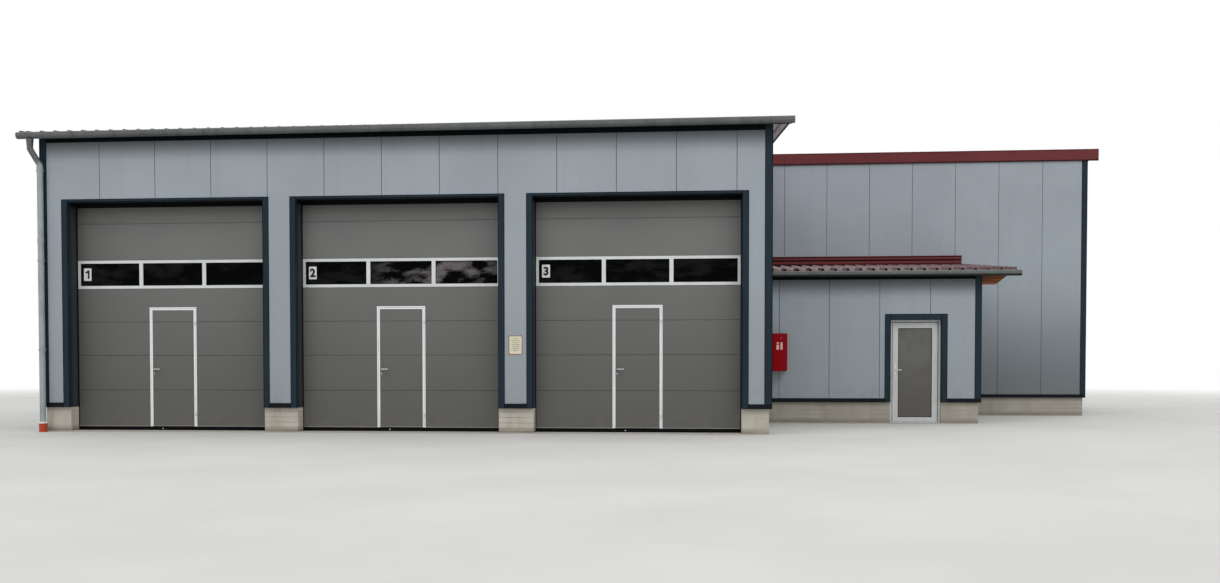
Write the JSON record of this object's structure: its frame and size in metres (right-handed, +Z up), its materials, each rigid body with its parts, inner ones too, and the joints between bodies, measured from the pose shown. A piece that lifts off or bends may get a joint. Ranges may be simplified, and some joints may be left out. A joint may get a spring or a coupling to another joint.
{
  "type": "garage building",
  "caption": "Panel-clad garage hall with sectional gates and wicket doors, a taller rear hall and a lean-to annex with a hinged door.",
  "frame": {"origin": "centre of the front hall's footprint, on the ground under its ridge", "axes": "+X right along the gate front, +Y towards the back, +Z up; the gates face -Y"},
  "size_m": [21.093, 16.4238, 6.2515],
  "materials": {
    "concrete": "cast concrete, weathered",
    "floor_concrete": "pale smoothed concrete",
    "wall_panel": "light grey coated sandwich panel, satin",
    "roof_sheet": "red-brown coated steel sheet",
    "dark_trim": "dark blue-grey coated folded sheet",
    "timber": "planed softwood",
    "stained_timber": "orange-brown stained softwood",
    "gate_skin": "grey-brown textured gate panel",
    "aluminium": "satin anodised",
    "glazing": "dark clear panes",
    "seal": "matt black",
    "galvanised": "galvanised steel",
    "white_frame": "white door profile",
    "door_infill": "grey door panel",
    "handle": "light metal lever on a long plate",
    "zinc": "weathered grey gutter sheet",
    "clay_pipe": "orange-brown drain pipe",
    "red_paint": "red cabinet",
    "notice": "cream plate with a red border"
  },
  "bodies": {
    "building": {"annex_door_frame": "white_frame", "annex_flashing": "roof_sheet", "annex_purlins": "stained_timber", "annex_roof": "roof_sheet", "back_wall": "wall_panel", "base_trims": "dark_trim", "beams": "timber", "corner_and_eave_trims": "dark_trim", "door_hinges": "aluminium", "downpipes": "zinc", "eave_boards": "dark_trim", "fire_cabinet": "red_paint", "floor_slabs": "floor_concrete", "front_walls": "wall_panel", "gate_glazing": "glazing", "gate_rails": "galvanised", "gate_seals": "seal", "gate_sections": "gate_skin", "gate_window_frames": "aluminium", "gutters": "zinc", "hall_purlins": "timber", "hall_roof_back": "roof_sheet", "hall_roof_front": "roof_sheet", "headers": "wall_panel", "notice_plate": "notice", "opening_trims": "dark_trim", "plinths": "concrete", "posts": "timber", "rear_fascia": "roof_sheet", "ridge_and_verge_trims": "roof_sheet", "side_walls": "wall_panel", "standpipes": "clay_pipe", "wicket_frames": "aluminium"},
    "wicket_1": {"wicket_1_panels": "gate_skin", "wicket_1_edge": "aluminium", "wicket_1_handles": "handle"},
    "wicket_2": {"wicket_2_panels": "gate_skin", "wicket_2_edge": "aluminium", "wicket_2_handles": "handle"},
    "wicket_3": {"wicket_3_panels": "gate_skin", "wicket_3_edge": "aluminium", "wicket_3_handles": "handle"},
    "annex_door": {"annex_door_sash": "white_frame", "annex_door_infill": "door_infill", "annex_door_handles": "handle"}
  },
  "joints": [
    {"name": "wicket_1_hinge", "type": "hinge", "parent": "building", "child": "wicket_1", "pos_m": [-3.68775, -7.734, 1.12], "axis": [0, 0, 1], "range_deg": [0, 90]},
    {"name": "wicket_2_hinge", "type": "hinge", "parent": "building", "child": "wicket_2", "pos_m": [0.40225, -7.734, 1.12], "axis": [0, 0, 1], "range_deg": [0, 90]},
    {"name": "wicket_3_hinge", "type": "hinge", "parent": "building", "child": "wicket_3", "pos_m": [4.49225, -7.734, 1.12], "axis": [0, 0, 1], "range_deg": [0, 90]},
    {"name": "annex_door_hinge", "type": "hinge", "parent": "building", "child": "annex_door", "pos_m": [9.93425, -3.831, 1.11], "axis": [0, 0, -1], "range_deg": [0, 90]}
  ]
}
